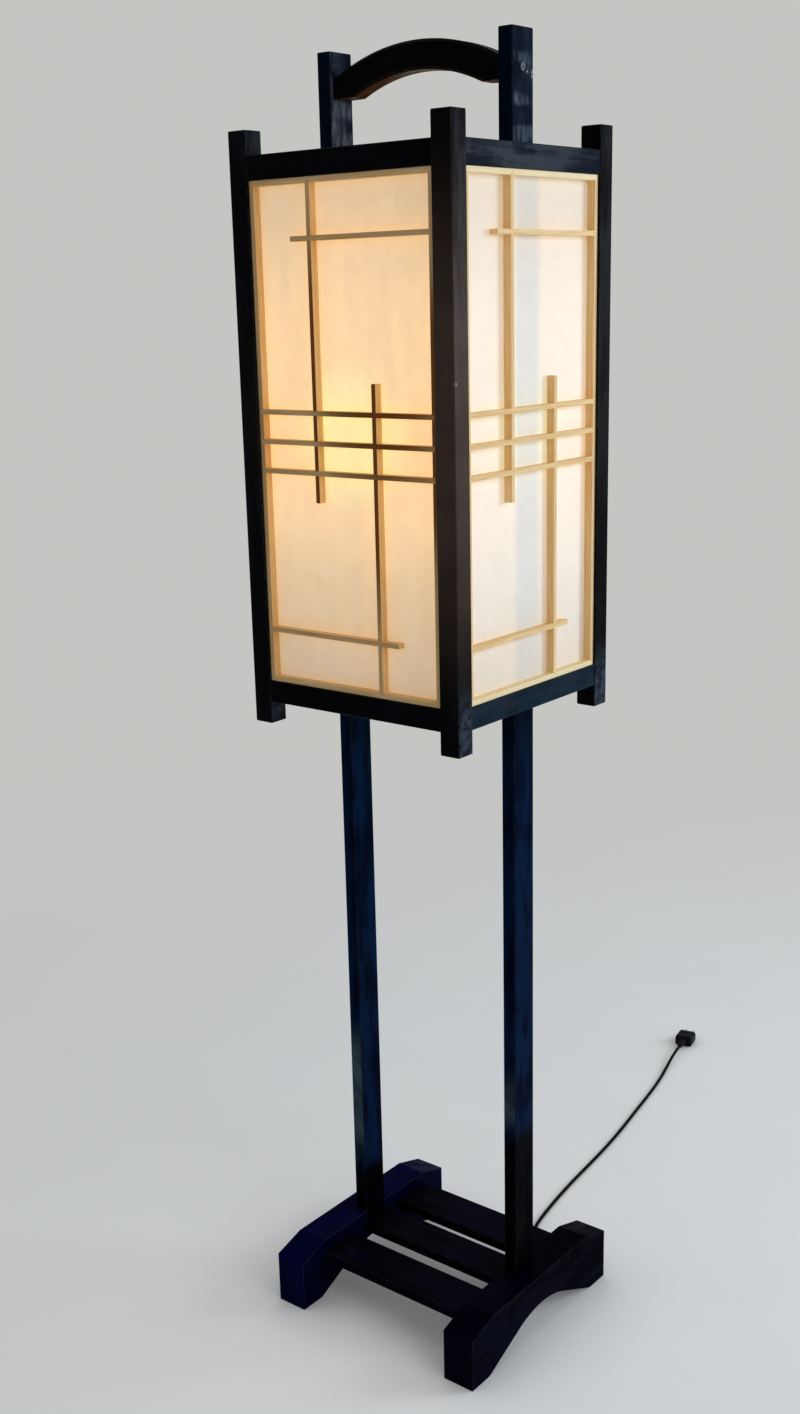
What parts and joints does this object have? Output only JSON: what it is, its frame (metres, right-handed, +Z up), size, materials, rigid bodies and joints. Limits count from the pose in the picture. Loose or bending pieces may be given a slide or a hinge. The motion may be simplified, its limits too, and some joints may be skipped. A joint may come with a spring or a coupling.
{
  "type": "andon floor lamp",
  "caption": "Square paper lantern with a light wood lattice in a black post frame, on two flat uprights with a carrying handle and a slatted sledge base.",
  "frame": {"origin": "centre of the base's footprint, on the floor", "axes": "+Z up, +Y to the rear, +X to the right seen from the front; the uprights stand at -X and +X"},
  "size_m": [0.322, 1.0311, 1.567],
  "materials": {
    "black_wood": "near-black stained wood, satin, worn lighter on the arrises",
    "lattice_wood": "pale planed softwood, unfinished",
    "washi_paper": "translucent handmade paper, lit from inside",
    "brass": "plain brass",
    "insulating_card": "brown insulating card",
    "phenolic": "moulded dark brown phenolic",
    "aluminium": "plain aluminium",
    "frosted_glass": "inside-frosted glass",
    "screw_steel": "zinc-plated steel",
    "lead_sheath": "black flexible sheath",
    "clip_plastic": "black nylon",
    "plug_plastic": "black moulded plug"
  },
  "bodies": {
    "lamp": {"carry_handle": "black_wood", "foot_left": "black_wood", "foot_right": "black_wood", "holder_cap": "brass", "holder_core": "phenolic", "holder_insulator": "insulating_card", "holder_shell": "brass", "lamp_bar": "black_wood", "lead_clips": "clip_plastic", "lead_fixed": "lead_sheath", "lead_free": "lead_sheath", "nipple": "brass", "nipple_nuts": "brass", "plug_blades": "brass", "plug_body": "plug_plastic", "post_front_left": "black_wood", "post_front_right": "black_wood", "post_rear_left": "black_wood", "post_rear_right": "black_wood", "rail_bottom_front": "black_wood", "rail_bottom_left": "black_wood", "rail_bottom_rear": "black_wood", "rail_bottom_right": "black_wood", "rail_top_front": "black_wood", "rail_top_left": "black_wood", "rail_top_rear": "black_wood", "rail_top_right": "black_wood", "screen_front_bars": "lattice_wood", "screen_front_paper": "washi_paper", "screen_front_rails": "lattice_wood", "screen_front_stiles": "lattice_wood", "screen_front_uprights": "lattice_wood", "screen_left_bars": "lattice_wood", "screen_left_paper": "washi_paper", "screen_left_rails": "lattice_wood", "screen_left_stiles": "lattice_wood", "screen_left_uprights": "lattice_wood", "screen_rear_bars": "lattice_wood", "screen_rear_paper": "washi_paper", "screen_rear_rails": "lattice_wood", "screen_rear_stiles": "lattice_wood", "screen_rear_uprights": "lattice_wood", "screen_right_bars": "lattice_wood", "screen_right_paper": "washi_paper", "screen_right_rails": "lattice_wood", "screen_right_stiles": "lattice_wood", "screen_right_uprights": "lattice_wood", "screw_plugs": "black_wood", "screw_shell": "aluminium", "slat_front": "black_wood", "slat_middle": "black_wood", "slat_rear": "black_wood", "slat_screws": "screw_steel", "upright_left": "black_wood", "upright_right": "black_wood", "upright_screws": "screw_steel"},
    "knob": {"switch_knob": "phenolic"},
    "bulb": {"bulb_glass": "frosted_glass", "bulb_cap": "aluminium"}
  },
  "joints": [
    {"name": "switch_turn", "type": "hinge", "parent": "lamp", "child": "knob", "pos_m": [0, 0, 1.0635], "axis": [0, -1, 0], "continuous": true},
    {"name": "bulb_unscrew", "type": "hinge", "parent": "lamp", "child": "bulb", "pos_m": [0, 0, 1.08], "axis": [0, 0, 1], "range_deg": [0, 1440]}
  ]
}
